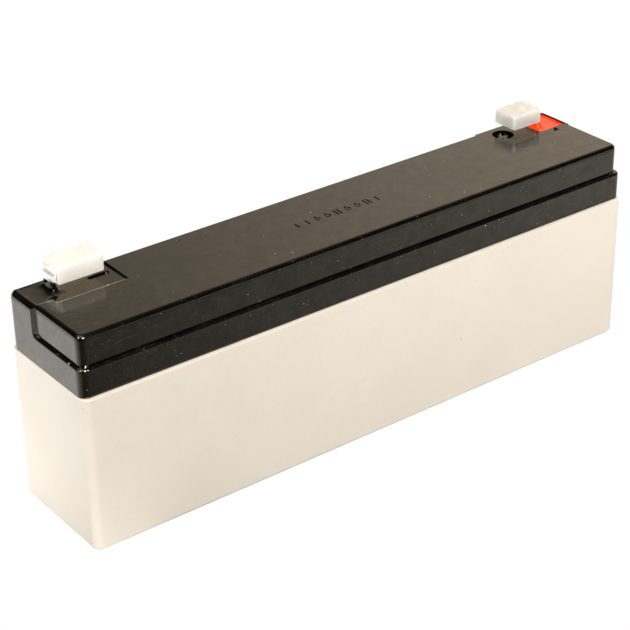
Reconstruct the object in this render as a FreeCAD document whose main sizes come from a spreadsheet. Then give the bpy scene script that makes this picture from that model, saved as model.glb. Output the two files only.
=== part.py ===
# Sealed lead-acid battery, 12 V, six cells in one row (178 x 35 x 60 mm case).
#
# Axes: X runs along the length, -X is the negative terminal's end and +X the
# positive one's. Y runs across the narrow width; -Y is the front and +Y the
# back, where the terminals are. Z is up. The origin is the centre of the
# case's underside, on the surface it stands on. All dimensions are millimetres.
import FreeCAD, Part
import Sketcher
import os

V = FreeCAD.Vector
doc = FreeCAD.newDocument("sealed_battery")

# ---------------------------------------------------------------- dimensions
# alias, value, note
DIMS = [
    # container
    ("case_len", 178.0, "container length over the outside"),
    ("case_wid", 35.0, "container width"),
    ("case_hgt", 43.3, "height of the container rim"),
    ("case_rad", 2.3, "radius of the four upright corners"),
    ("case_base_rad", 1.0, "radius round the underside"),
    ("case_rim_rad", 0.35, "rounding of the rim's outer edge"),
    ("floor_thk", 2.0, "floor thickness"),
    ("cell_len", 27.8, "cell cavity along X"),
    ("cell_wid", 31.0, "cell cavity along Y"),
    ("cell_rad", 0.12, "upright corner radius of the cell cavity"),
    ("partition_thk", 1.4, "moulded partition between cells"),
    ("weld_dia", 4.4, "hole for the through-partition weld"),
    ("weld_hgt", 39.2, "height of the through-partition welds"),
    ("weld_off", 10.3, "sideways offset of straps and welds"),
    ("weld_fit", 0.02, "radial clearance of a weld in its hole"),
    ("weld_over", 0.05, "how far a weld stands out of each partition face"),
    # lid
    ("band_len", 177.8, "lid band length"),
    ("band_wid", 33.0, "lid band width"),
    ("band_top", 51.1, "top of the lid band"),
    ("band_rad", 2.2, "upright corner radius of the band"),
    ("band_edge_rad", 0.8, "rounding along the band's top step"),
    ("deck_low", 48.8, "underside of the inner deck"),
    ("deck_top", 50.6, "top of the inner deck, floor of the valve chamber"),
    ("block_x", 88.0, "half length of the raised block, front part"),
    ("block_y", 15.35, "half width of the raised block"),
    ("block_root", 1.0, "overlap of the raised block with the band"),
    ("block_rad", 2.0, "upright corner radius of the raised block"),
    ("boss_in", 4.3, "terminal boss, start of its side wall"),
    ("boss_out", 5.6, "terminal boss, outer corner of its side wall"),
    ("seat_z", 58.4, "seat of the top cover"),
    ("recess_z", 58.75, "floor of the terminal recess"),
    ("top_z", 59.3, "top of the cover"),
    ("rim_x", 87.5, "inner face of the end rim"),
    ("rim_rad", 1.8, "rounding of the end rim"),
    ("chamber_x", 85.6, "half length of the valve chamber"),
    ("chamber_y", 13.2, "half width of the valve chamber"),
    ("chamber_step_x", 60.9, "valve chamber, where the terminal bosses begin"),
    ("chamber_step_y", 1.4, "valve chamber, front face of the terminal bosses"),
    ("skirt_gap", 0.2, "bond gap between lid skirt and cell wall"),
    ("skirt_thk", 0.9, "lid skirt thickness"),
    ("skirt_dep", 1.2, "lid skirt depth into the cell"),
    ("bead_wall_gap", 0.04, "clearance between adhesive and cell wall"),
    ("bead_skirt_gap", 0.02, "clearance between adhesive and lid skirt"),
    ("chimney_dia", 8.0, "valve chimney, outside"),
    ("chimney_bore", 3.6, "valve chimney, bore"),
    ("chimney_top", 55.6, "valve chimney, top"),
    ("chimney_off", 6.0, "valve chimney, offset towards the front"),
    # terminal recess in the cover
    ("recess_x", 62.6, "inner end of the terminal recess"),
    ("recess_y", 3.1, "front wall of the terminal recess"),
    ("recess_jog_x", 82.8, "where the front wall steps back"),
    ("recess_jog_y", 5.0, "front wall beside the well"),
    ("recess_rad", 3.4, "round corner of the positive recess"),
    ("recess_edge", 0.22, "rounding along the recess's top edge"),
    ("recess_back", 16.2, "back edge of the recess floor"),
    ("recess_back_rad", 0.3, "rounding of the recess floor's back edge"),
    ("recess_cut_x", 1.1, "cut-off back corner of the recess floor, along X"),
    ("recess_cut_y", 0.15, "cut-off back corner of the recess floor, along Y"),
    ("opening_gap", 0.06, "clearance between the cover's openings and the lid"),
    # terminal well
    ("well_x0", 78.0, "well, inner wall"),
    ("well_x1", 87.5, "well, outer wall"),
    ("well_y0", 5.8, "well, front wall"),
    ("well_y1", 15.7, "well, back wall"),
    ("well_rad", 1.8, "well corner radius"),
    ("well_floor", 52.6, "well floor"),
    ("fill_z", 58.55, "level of the sealing resin"),
    ("resin_gap", 0.02, "clearance round the sealing resin"),
    ("oring_seat_dia", 8.2, "O-ring seat"),
    ("oring_seat_z", 50.7, "bottom of the O-ring seat"),
    ("oring_sec", 1.7, "O-ring section"),
    ("oring_mid_dia", 5.8, "O-ring mean diameter"),
    ("oring_lift", 0.02, "clearance under the O-ring"),
    # polarity marks
    ("plus_x", 68.6, "positive mark centre along X"),
    ("plus_y", 11.1, "positive mark centre along Y"),
    ("plus_dia", 6.2, "positive mark recess"),
    ("plus_dep", 1.5, "positive mark recess depth"),
    ("plus_arm", 3.8, "length of the plus sign"),
    ("plus_wid", 1.0, "stroke of the plus sign"),
    ("minus_x", 67.2, "negative mark centre along X, towards -X"),
    ("minus_y", 9.7, "negative mark centre along Y"),
    ("minus_len", 6.2, "length of the minus slot"),
    ("minus_wid", 1.5, "width of the minus slot"),
    ("minus_dep", 0.5, "depth of the minus slot"),
    ("minus_flat", 0.02, "half of the flat left at the minus slot's ends"),
    # cover
    ("rebate_z", 57.95, "ledge under the cover's turned-down rim"),
    ("rebate_wid", 1.5, "width of that ledge"),
    ("seam_chf", 0.1, "chamfer along the cover's seam"),
    ("cover_rad", 1.2, "rounding round the cover's top edge"),
    ("lip_gap", 0.1, "clearance of the cover's locating lip"),
    ("lip_thk", 1.0, "thickness of the cover's locating lip"),
    ("lip_dep", 1.0, "depth of the cover's locating lip"),
    ("stop_dia", 5.0, "valve stop under the cover"),
    ("stop_len", 1.15, "valve stop length"),
    ("gas_slot_wid", 3.0, "gas slot width along X"),
    ("gas_slot_dep", 2.4, "gas slot, reach in from the back edge"),
    ("gas_slot_rise", 0.25, "gas slot, height above the cover seat"),
    ("mark_dep", 0.3, "depth of the stamped batch marks"),
    ("mark_wid", 0.5, "stroke of the batch marks"),
    ("mark_pitch", 3.3, "batch mark to batch mark"),
    ("bar_len", 2.4, "length of a single bar mark"),
    ("double_len", 3.0, "length of a double bar mark"),
    ("double_off", 0.55, "each bar of a double mark from its centre"),
    ("lozenge_wid", 2.1, "lozenge mark along X"),
    ("lozenge_len", 3.2, "lozenge mark along Y"),
    # valve caps
    ("valve_dia", 10.2, "rubber valve cap, outside"),
    ("valve_bore", 8.1, "rubber valve cap, bore"),
    ("valve_hgt", 4.6, "rubber valve cap, height"),
    ("valve_top", 1.2, "rubber valve cap, roof thickness"),
    ("valve_rad", 0.5, "rubber valve cap, top edge radius"),
    # plates
    ("pos_thk", 2.6, "positive plate thickness"),
    ("neg_thk", 1.8, "negative plate thickness"),
    ("plate_wid", 30.2, "plate width"),
    ("plate_low", 3.05, "bottom edge of the plates"),
    ("plate_top", 34.5, "top edge of the plates"),
    ("plate_step", 6.46, "pitch of like plates in a cell"),
    ("lug_wid", 5.6, "plate lug width"),
    ("strap_low", 36.5, "underside of the cast-on strap"),
    ("strap_top", 38.7, "top of the cast-on strap"),
    ("strap_wid", 6.4, "strap width"),
    ("riser_thk", 1.9, "upright weld riser thickness"),
    ("riser_top", 41.8, "top of the weld riser"),
    ("pos_half", 11.1, "half length of a positive strap over its lugs"),
    ("neg_half", 13.75, "half length of a negative or terminal strap"),
    ("strap_end", 13.85, "strap end that meets the partition"),
    ("sep_thk", 1.0, "glass mat thickness"),
    ("sep_half", 1.315, "half of the gap inside a folded mat"),
    ("sep_wid", 30.8, "glass mat width"),
    ("sep_top", 35.3, "top of the glass mat"),
    # terminals
    ("post_x", 83.7, "terminal post axis along X"),
    ("tab_y", 11.1, "terminal axis along Y"),
    ("post_dia", 4.0, "lead post"),
    ("post_neck", 2.9, "post neck through the terminal foot"),
    ("post_head", 4.6, "soldered head above the foot"),
    ("head_chf", 0.6, "chamfer round the soldered head"),
    ("post_hole", 4.1, "hole for the post in the lid"),
    ("foot_low", 53.3, "underside of the terminal foot"),
    ("foot_hole_fit", 0.06, "foot hole diameter beyond the post neck's"),
    ("head_top", 55.6, "top of the soldered head"),
    ("tab_thk", 0.8, "terminal strip thickness"),
    ("tab_wid", 4.75, "terminal strip width"),
    ("foot_end", 86.6, "outer end of the foot"),
    ("stem_x", 80.4, "outer face of the stem"),
    ("blade_top", 63.5, "top of the blade"),
    ("blade_tip", 71.0, "tip of the blade"),
    ("bend_rad", 1.5, "blade bend, outer radius"),
    ("foot_bend_rad", 1.2, "foot bend, outer radius"),
    ("tip_chf", 0.9, "chamfer at the blade tip's corners"),
    ("tip_bevel", 0.22, "bevel across the blade tip"),
    ("detent_dia", 1.6, "detent hole in the blade"),
    ("detent_off", 3.2, "detent hole from the tip"),
    # slip-on terminal covers
    ("cap_open", 79.5, "open end of the terminal covers"),
    ("cap_neg_end", 66.4, "closed end of the negative cover"),
    ("cap_pos_end", 69.3, "closed end of the positive cover"),
    ("cap_mid_y", 11.5, "middle of the terminal covers along Y"),
    ("cap_wid", 8.2, "terminal cover width"),
    ("cap_low", 60.85, "underside of the terminal covers"),
    ("cap_hgt", 4.45, "terminal cover height"),
    ("cap_wall", 0.7, "terminal cover wall"),
    ("cap_rad", 1.1, "terminal cover long edge radius"),
    ("cap_end_rad", 0.5, "terminal cover closed end radius"),
    ("cap_grip", 0.06, "running gap between blade and cover"),
    ("rib_wid", 0.56, "grip rib width"),
    ("rib_off", 1.35, "grip rib offset from the terminal axis"),
]

# How far cuts run past a face, and joined shapes run into each other.
OVER_WIDE, OVER_MID, OVER_SMALL, OVER_TINY = 1.0, 0.5, 0.2, 0.1


class Length:
    """A length that carries both its number and the sheet formula for it."""

    def __init__(self, number, formula):
        self.number = float(number)
        self.formula = formula

    def __float__(self):
        return self.number

    def join(self, sign, other, number):
        return Length(number, "(%s %s %s)" % (self.formula, sign, other.formula))

    def __add__(self, other):
        other = as_length(other)
        return self.join("+", other, self.number + other.number)

    __radd__ = __add__

    def __sub__(self, other):
        other = as_length(other)
        return self.join("-", other, self.number - other.number)

    def __rsub__(self, other):
        return as_length(other) - self

    def __mul__(self, other):
        other = as_length(other)
        return self.join("*", other, self.number * other.number)

    __rmul__ = __mul__

    def __truediv__(self, other):
        other = as_length(other)
        return self.join("/", other, self.number / other.number)

    def __neg__(self):
        return Length(-self.number, "(0 - %s)" % self.formula)


def as_length(value):
    if isinstance(value, Length):
        return value
    if value < 0:
        return Length(value, "(0 - %s)" % repr(float(-value)))
    return Length(value, repr(float(value)))


class Sizes:
    """The sheet's dimensions, one Length attribute per alias."""


size = Sizes()
sheet = doc.addObject("Spreadsheet::Sheet", "dims")
sheet.set("A1", "dimension (mm)")
for row, (alias, value, note) in enumerate(DIMS, start=2):
    sheet.set("A%d" % row, note)
    sheet.set("B%d" % row, str(value))
    sheet.setAlias("B%d" % row, alias)
    setattr(size, alias, Length(value, "dims." + alias))
doc.recompute()

# lengths that follow from the sheet
cell_pitch = size.cell_len + size.partition_thk
boss_x = size.band_len / 2  # bosses are flush with the band's ends and back
boss_y = size.band_wid / 2
foot_top = size.foot_low + size.tab_thk
stem_in = size.stem_x - size.tab_thk
blade_low = size.blade_top - size.tab_thk

CELLS = range(1, 7)  # counted from the negative end
PARTITIONS = range(1, 6)  # partition n stands between cells n and n + 1
SIDES = (-1, 1)  # negative and positive terminal end
SUBPARTS = []


# ------------------------------------------------------------------- places
def cell_x(cell):
    return cell_pitch * (cell - 3.5)


def partition_x(partition):
    return cell_pitch * (partition - 3)


def positive_side(cell):
    """Y side of a cell's positive strap, and of the weld that follows it."""
    return -1 if cell % 2 else 1


def flip(side, length):
    length = as_length(length)
    return length if side > 0 else -length


def corners(x0, y0, x1, y1):
    return [(x0, y0), (x1, y0), (x1, y1), (x0, y1)]


def symmetric(right):
    """Outline about X = 0 from its +X half, listed from front to back."""
    left = [(-x, y) for x, y in reversed(right)]
    return left[-1:] + right + left[:-1]


# ------------------------------------------------------------------- helpers
def bind(obj, prop, length):
    obj.setExpression(prop, as_length(length).formula)


def bind_base(obj, **coordinates):
    for axis, length in coordinates.items():
        bind(obj, "Placement.Base." + axis, length)


def new_body(label, compound=False):
    piece = doc.addObject("PartDesign::Body", label)
    piece.Label = label
    piece.AllowCompound = compound
    SUBPARTS.append(piece)
    return piece


def new_object(kind, label):
    piece = doc.addObject(kind, label)
    piece.Label = label
    SUBPARTS.append(piece)
    return piece


def origin_feature(piece, role):
    return [f for f in piece.Origin.OriginFeatures if f.Role == role][0]


def new_sketch(piece, name, plane="XY", offset=None):
    sketch = piece.newObject("Sketcher::SketchObject", name)
    sketch.AttachmentSupport = [(origin_feature(piece, plane + "_Plane"), "")]
    sketch.MapMode = "FlatFace"
    if offset is not None:
        bind(sketch, "AttachmentOffset.Base.z", offset)
    doc.recompute()
    return sketch


def drive(sketch, length, *constraint):
    """Add a constraint whose value is the bound length."""
    number = sketch.addConstraint(Sketcher.Constraint(*constraint, length.number))
    sketch.setExpression("Constraints[%d]" % number, length.formula)


def place(sketch, geometry, point, x, y):
    """Fix one sketch point at (x, y) from the sketch origin."""
    drive(sketch, x, "DistanceX", -1, 1, geometry, point)
    drive(sketch, y, "DistanceY", -1, 1, geometry, point)


def polygon(sketch, points):
    """Closed outline of straight lines, each corner driven by the sheet."""
    points = [(as_length(x), as_length(y)) for x, y in points]
    ends = points[1:] + points[:1]
    lines = []
    for (x0, y0), (x1, y1) in zip(points, ends):
        line = Part.LineSegment(V(x0.number, y0.number, 0), V(x1.number, y1.number, 0))
        lines.append(sketch.addGeometry(line, False))
    for line, following in zip(lines, lines[1:] + lines[:1]):
        sketch.addConstraint(Sketcher.Constraint("Coincident", line, 2, following, 1))
    for line, (x, y) in zip(lines, points):
        place(sketch, line, 1, x, y)


def rect(sketch, x0, y0, x1, y1):
    polygon(sketch, corners(x0, y0, x1, y1))


def centred_rect(sketch, half_x, half_y):
    rect(sketch, -half_x, -half_y, half_x, half_y)


def at_both_ends(sketch, points):
    """Draw an outline given for the +X end at both ends."""
    for side in SIDES:
        polygon(sketch, [(flip(side, x), y) for x, y in points])


def circle(sketch, x, y, diameter):
    x, y, diameter = as_length(x), as_length(y), as_length(diameter)
    round_line = Part.Circle(V(x.number, y.number, 0), V(0, 0, 1), diameter.number / 2.0)
    geometry = sketch.addGeometry(round_line, False)
    place(sketch, geometry, 3, x, y)
    drive(sketch, diameter, "Diameter", geometry)


def chimney_circles(sketch, diameter):
    for cell in CELLS:
        circle(sketch, cell_x(cell), -size.chimney_off, diameter)


def post_circles(sketch, diameter):
    for side in SIDES:
        circle(sketch, flip(side, size.post_x), size.tab_y, diameter)


def cell_rects(sketch, *insets):
    """Outline of every cell, drawn once for each inset from the cell wall."""
    half_y = size.cell_wid / 2
    for cell in CELLS:
        for inset in insets:
            rect(sketch, cell_x(cell) - size.cell_len / 2 + inset, -half_y + inset,
                 cell_x(cell) + size.cell_len / 2 - inset, half_y - inset)


def check(feature):
    doc.recompute()
    if "Invalid" in feature.State or "Error" in feature.State:
        raise RuntimeError("%s failed: %s" % (feature.Name, feature.State))


def extrude(kind, piece, sketch, length, name, reverse, symmetric_pad):
    feature = piece.newObject(kind, name)
    feature.Profile = sketch
    bind(feature, "Length", length)
    feature.Reversed = reverse
    if symmetric_pad:
        feature.SideType = "Symmetric"
    check(feature)
    return feature


def pad(piece, sketch, length, name, reverse=False, mid=False):
    """Add material along the sketch normal, or against it when reversed."""
    feature = extrude("PartDesign::Pad", piece, sketch, length, name, reverse, mid)
    if not feature.Shape.Volume > 0:
        raise RuntimeError(name + " adds nothing")
    return feature


def pocket(piece, sketch, length, name, reverse=False, mid=False):
    """Cut against the sketch normal, or along it when reversed."""
    before = piece.Shape.Volume
    feature = extrude("PartDesign::Pocket", piece, sketch, length, name, reverse, mid)
    if not feature.Shape.Volume < before - 1e-4:
        raise RuntimeError(name + " cuts nothing")


def revolve(piece, sketch, name):
    feature = piece.newObject("PartDesign::Revolution", name)
    feature.Profile = sketch
    feature.ReferenceAxis = (sketch, ["V_Axis"])
    feature.Angle = 360.0
    check(feature)


def pattern_along_x(piece, original, count, span, name):
    feature = piece.newObject("PartDesign::LinearPattern", name)
    feature.Originals = [original]
    feature.Direction = (origin_feature(piece, "X_Axis"), [""])
    feature.Occurrences = count
    bind(feature, "Length", span)
    piece.Tip = feature
    check(feature)


# ------------------------------------------------------------ edge selection
def near(measured, target, tolerance=1e-3):
    return abs(measured - float(target)) < tolerance


class EdgePoints:
    """Start, middle and end point of an edge, for the edge tests."""

    def __init__(self, edge):
        first, last = edge.FirstParameter, edge.LastParameter
        self.start = edge.valueAt(first)
        self.mid = edge.valueAt((first + last) / 2.0)
        self.end = edge.valueAt(last)

    def upright(self, min_height=0.2):
        start, end = self.start, self.end
        return near(start.x, end.x) and near(start.y, end.y) and abs(start.z - end.z) > min_height

    def level(self, z):
        return all(near(point.z, z) for point in (self.start, self.mid, self.end))

    def ends_at_x(self, x):
        """Both ends at this distance from the middle of the battery."""
        return near(abs(self.start.x), x) and near(abs(self.end.x), x)

    def starts_at(self, x, y, tolerance=1e-3):
        """Start at this distance along X and along Y, on either side."""
        return (near(abs(self.start.x), x, tolerance)
                and near(abs(self.start.y), y, tolerance))


def edge_numbers(shape, test):
    return [number for number, edge in enumerate(shape.Edges, start=1)
            if test(EdgePoints(edge))]


def dress_edges(kind, prop, piece, test, length, name, expect):
    """Round or chamfer those edges of the body's last feature that pass the test."""
    base = piece.Tip
    names = ["Edge%d" % number for number in edge_numbers(base.Shape, test)]
    if not names or (expect is not None and len(names) != expect):
        raise RuntimeError("%s found %d edges" % (name, len(names)))
    feature = piece.newObject(kind, name)
    feature.Base = (base, names)
    bind(feature, prop, length)
    check(feature)


def fillet(piece, test, radius, name, expect=None):
    dress_edges("PartDesign::Fillet", "Radius", piece, test, radius, name, expect)


def chamfer(piece, test, length, name, expect=None):
    dress_edges("PartDesign::Chamfer", "Size", piece, test, length, name, expect)


# ----------------------------------------------------------------- container
def build_container():
    piece = new_body("container")
    half_x, half_y = size.case_len / 2, size.case_wid / 2
    sketch = new_sketch(piece, "case_outline")
    centred_rect(sketch, half_x, half_y)
    pad(piece, sketch, size.case_hgt, "case_block")
    fillet(piece, lambda edge: edge.upright() and edge.starts_at(half_x, half_y, 0.02),
           size.case_rad, "case_corners", 4)
    fillet(piece, lambda edge: edge.level(0), size.case_base_rad, "case_base_edge")
    fillet(piece, lambda edge: edge.level(size.case_hgt), size.case_rim_rad, "case_rim_edge")

    sketch = new_sketch(piece, "cell_outlines", offset=size.case_hgt)
    cell_rects(sketch, 0)
    pocket(piece, sketch, size.case_hgt - size.floor_thk, "cells")
    fillet(piece, lambda edge: (edge.upright(30)
                                and near(abs(edge.start.y), size.cell_wid / 2, 0.01)),
           size.cell_rad, "cell_corners", 24)

    for partition in PARTITIONS:
        sketch = new_sketch(piece, "weld_hole_outline_%d" % partition, "YZ",
                            partition_x(partition))
        circle(sketch, flip(positive_side(partition), size.weld_off), size.weld_hgt,
               size.weld_dia)
        pocket(piece, sketch, size.partition_thk + 2 * OVER_SMALL,
               "weld_hole_%d" % partition, mid=True)


# ----------------------------------------------------------------------- lid
def lid_outside(piece):
    """Band, raised block and the two terminal bosses, with their roundings."""
    block_x, block_y, recess_x = size.block_x, size.block_y, size.recess_x
    sketch = new_sketch(piece, "band_outline", offset=size.case_hgt)
    centred_rect(sketch, size.band_len / 2, size.band_wid / 2)
    pad(piece, sketch, size.band_top - size.case_hgt, "band")

    sketch = new_sketch(piece, "block_outline", offset=size.band_top - size.block_root)
    polygon(sketch, symmetric([
        (block_x, -block_y), (block_x, size.boss_in), (boss_x, size.boss_out),
        (boss_x, boss_y), (recess_x, boss_y), (recess_x, block_y)]))
    pad(piece, sketch, size.seat_z - size.band_top + size.block_root, "raised_block")

    sketch = new_sketch(piece, "boss_outlines", offset=size.seat_z)
    at_both_ends(sketch, [(recess_x, size.boss_in), (block_x, size.boss_in),
                          (boss_x, size.boss_out), (boss_x, boss_y), (recess_x, boss_y)])
    pad(piece, sketch, size.top_z - size.seat_z, "terminal_bosses")

    def on_band_step(edge):
        return edge.level(size.band_top) and (
            edge.mid.y < float(-block_y) - 0.5
            or abs(edge.mid.x) > float(boss_x) - 0.5
            or near(edge.mid.y, boss_y))

    fillet(piece, lambda edge: (edge.upright(2) and near(abs(edge.start.x), block_x)
                                and near(edge.start.y, -block_y)),
           size.block_rad, "block_front_corners", 2)
    fillet(piece, lambda edge: edge.upright(2) and edge.starts_at(boss_x, boss_y),
           size.band_rad, "band_corners")
    fillet(piece, lambda edge: (edge.level(size.top_z)
                                and abs(edge.mid.x) > float(boss_x) - 2.0
                                and edge.mid.y > float(size.boss_out)),
           size.rim_rad, "boss_rounding")
    fillet(piece, on_band_step, size.band_edge_rad, "band_step_edge")


def lid_recess_floors(piece):
    """Cut the bosses down to the seat, then raise the recess floors a little
    above it, clear of the cover's openings."""
    gap = size.opening_gap
    sketch = new_sketch(piece, "recess_floor_outlines", offset=size.top_z)
    at_both_ends(sketch, corners(size.recess_x - OVER_MID, size.boss_in - OVER_MID,
                                 size.rim_x, boss_y + OVER_WIDE))
    pocket(piece, sketch, size.top_z - size.seat_z, "recess_floors")

    inner_x, front_y, back_y = size.recess_x + gap, size.recess_y + gap, size.recess_back
    jog_x, jog_y = size.recess_jog_x - gap, size.recess_jog_y + gap
    sketch = new_sketch(piece, "recess_raise_outlines", offset=size.seat_z)
    at_both_ends(sketch, [
        (inner_x, front_y), (jog_x, front_y), (jog_x, jog_y), (size.rim_x, jog_y),
        (size.rim_x, back_y - size.recess_cut_y),
        (size.rim_x - size.recess_cut_x, back_y), (inner_x, back_y)])
    pad(piece, sketch, size.recess_z - size.seat_z, "recess_raise")
    fillet(piece, lambda edge: (edge.upright() and near(edge.start.x, inner_x)
                                and near(edge.start.y, front_y)),
           size.recess_rad - gap, "recess_raise_corner", 1)
    fillet(piece, lambda edge: (edge.level(size.recess_z) and near(edge.start.y, back_y)
                                and near(edge.end.y, back_y)),
           size.recess_back_rad, "recess_back_edge")


def lid_cover_rebate(piece):
    """Ledge round the block that takes the cover's turned-down rim."""
    sketch = new_sketch(piece, "rebate_outlines", offset=size.seat_z)
    out_x, out_y = size.block_x + OVER_WIDE, size.block_y + OVER_WIDE
    in_x, in_y = size.block_x - size.rebate_wid, size.block_y - size.rebate_wid
    jog_y = size.recess_jog_y + size.opening_gap
    polygon(sketch, symmetric([
        (out_x, -out_y), (out_x, size.boss_in), (size.rim_x, size.boss_in),
        (size.rim_x, jog_y), (in_x, jog_y), (in_x, -in_y)]))
    rect(sketch, -size.recess_x, in_y, size.recess_x, size.block_y + OVER_MID)
    pocket(piece, sketch, size.seat_z - size.rebate_z, "cover_rebate")


def chamber_outline(inset):
    """Valve chamber outline, moved inwards by the inset."""
    out_x, out_y = size.chamber_x - inset, size.chamber_y - inset
    step_x, step_y = size.chamber_step_x - inset, size.chamber_step_y - inset
    return symmetric([(out_x, -out_y), (out_x, step_y), (step_x, step_y), (step_x, out_y)])


def lid_gas_passages(piece):
    """Valve chamber, open upwards until the cover closes it, its chimneys, and
    the gas space over each cell with the skirt that drops into the cell."""
    sketch = new_sketch(piece, "chamber_outline", offset=size.seat_z)
    polygon(sketch, chamber_outline(0))
    pocket(piece, sketch, size.seat_z - size.deck_top, "valve_chamber")

    sketch = new_sketch(piece, "chimney_outlines", offset=size.deck_top)
    chimney_circles(sketch, size.chimney_dia)
    pad(piece, sketch, size.chimney_top - size.deck_top, "chimneys")

    skirt_inset = size.skirt_gap + size.skirt_thk
    sketch = new_sketch(piece, "headspace_outlines", offset=size.case_hgt)
    cell_rects(sketch, skirt_inset)
    pocket(piece, sketch, size.deck_low - size.case_hgt, "headspaces", reverse=True)

    sketch = new_sketch(piece, "skirt_outlines", offset=size.case_hgt)
    cell_rects(sketch, size.skirt_gap, skirt_inset)
    pad(piece, sketch, size.skirt_dep, "skirts", reverse=True)

    sketch = new_sketch(piece, "bore_outlines", offset=size.chimney_top)
    chimney_circles(sketch, size.chimney_bore)
    pocket(piece, sketch, size.chimney_top - size.deck_low + OVER_MID, "chimney_bores")


def lid_terminal_wells(piece):
    sketch = new_sketch(piece, "well_outlines", offset=size.top_z)
    at_both_ends(sketch, corners(size.well_x0, size.well_y0, size.well_x1, size.well_y1))
    pocket(piece, sketch, size.top_z - size.well_floor, "wells")
    fillet(piece, lambda edge: (edge.upright(2) and near(abs(edge.start.x), size.well_x0)
                                and (near(edge.start.y, size.well_y0)
                                     or near(edge.start.y, size.well_y1))),
           size.well_rad, "well_corners", 4)

    sketch = new_sketch(piece, "oring_seat_outlines", offset=size.well_floor)
    post_circles(sketch, size.oring_seat_dia)
    pocket(piece, sketch, size.well_floor - size.oring_seat_z, "oring_seats")

    sketch = new_sketch(piece, "post_hole_outlines", offset=size.oring_seat_z)
    post_circles(sketch, size.post_hole)
    pocket(piece, sketch, size.oring_seat_z - size.deck_low + OVER_MID, "post_holes")


def lid_polarity_marks(piece):
    """A round recess with a raised plus, and a minus slot."""
    sketch = new_sketch(piece, "plus_recess_outline", offset=size.recess_z)
    circle(sketch, size.plus_x, size.plus_y, size.plus_dia)
    pocket(piece, sketch, size.plus_dep, "plus_recess")

    sketch = new_sketch(piece, "plus_outline", offset=size.recess_z - size.plus_dep)
    arm, edge_off = size.plus_arm / 2, size.plus_wid / 2
    around = [(-arm, -edge_off), (-edge_off, -edge_off), (-edge_off, -arm),
              (edge_off, -arm), (edge_off, -edge_off), (arm, -edge_off),
              (arm, edge_off), (edge_off, edge_off), (edge_off, arm),
              (-edge_off, arm), (-edge_off, edge_off), (-arm, edge_off)]
    polygon(sketch, [(size.plus_x + x, size.plus_y + y) for x, y in around])
    pad(piece, sketch, size.plus_dep * 0.5, "plus_sign")

    sketch = new_sketch(piece, "minus_outline", offset=size.recess_z)
    mid_x, mid_y = -size.minus_x, size.minus_y
    half_x, half_y = size.minus_len / 2, size.minus_wid / 2
    rect(sketch, mid_x - half_x, mid_y - half_y, mid_x + half_x, mid_y + half_y)
    pocket(piece, sketch, size.minus_dep, "minus_slot")

    def slot_corner(edge):
        return (edge.upright() and near(abs(edge.start.z - edge.end.z), size.minus_dep)
                and near(abs(edge.start.y - mid_y.number), half_y)
                and near(abs(edge.start.x - mid_x.number), half_x))

    fillet(piece, slot_corner, half_y - size.minus_flat, "minus_ends", 4)


def build_lid():
    piece = new_body("lid")
    lid_outside(piece)
    lid_recess_floors(piece)
    lid_cover_rebate(piece)
    lid_gas_passages(piece)
    lid_terminal_wells(piece)
    lid_polarity_marks(piece)


# ---------------------------------------------------------------- vent cover
def cover_plate(piece):
    """Rounded plate with a turned-down rim."""
    block_x, block_y = size.block_x, size.block_y
    sketch = new_sketch(piece, "cover_outline", offset=size.seat_z)
    centred_rect(sketch, block_x, block_y)
    pad(piece, sketch, size.top_z - size.seat_z, "plate")

    sketch = new_sketch(piece, "rim_outline", offset=size.seat_z)
    centred_rect(sketch, block_x, block_y)
    centred_rect(sketch, block_x - size.rebate_wid, block_y - size.rebate_wid)
    pad(piece, sketch, size.seat_z - size.rebate_z, "turned_down_rim", reverse=True)

    def on_seam(edge):
        x, y = abs(edge.mid.x), abs(edge.mid.y)
        at_corner = x > float(block_x) - 1.0 and y > float(block_y) - 1.0
        return edge.level(size.rebate_z) and (near(y, block_y) or near(x, block_x) or at_corner)

    fillet(piece, lambda edge: edge.upright() and edge.starts_at(block_x, block_y, 0.02),
           size.block_rad, "plate_corners", 4)
    fillet(piece, lambda edge: edge.level(size.top_z), size.cover_rad, "plate_top_edge")
    chamfer(piece, on_seam, size.seam_chf, "plate_seam_edge")


def cover_openings(piece):
    """Terminal recesses cut out of the plate, and the corners the bosses fill."""
    inner_x, front_y = size.recess_x, size.recess_y
    jog_x, jog_y = size.recess_jog_x, size.recess_jog_y
    rim_x = size.rim_x - size.opening_gap
    boss_front = size.boss_in - size.opening_gap
    out_x, out_y = size.block_x + OVER_WIDE, size.block_y + OVER_WIDE
    sketch = new_sketch(piece, "recess_cutouts", offset=size.top_z)
    at_both_ends(sketch, [
        (inner_x, front_y), (jog_x, front_y), (jog_x, jog_y), (rim_x, jog_y),
        (rim_x, boss_front), (out_x, boss_front), (out_x, out_y), (inner_x, out_y)])
    pocket(piece, sketch, size.top_z - size.rebate_z + OVER_SMALL, "recess_openings")
    fillet(piece, lambda edge: (edge.upright() and near(edge.start.x, inner_x)
                                and near(edge.start.y, front_y)),
           size.recess_rad, "positive_recess_corner", 1)
    fillet(piece, lambda edge: (edge.level(size.top_z) and near(edge.start.y, edge.end.y)
                                and near(edge.start.y, front_y)
                                and abs(edge.start.x - edge.end.x) > 5),
           size.recess_edge, "recess_top_edge")


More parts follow.
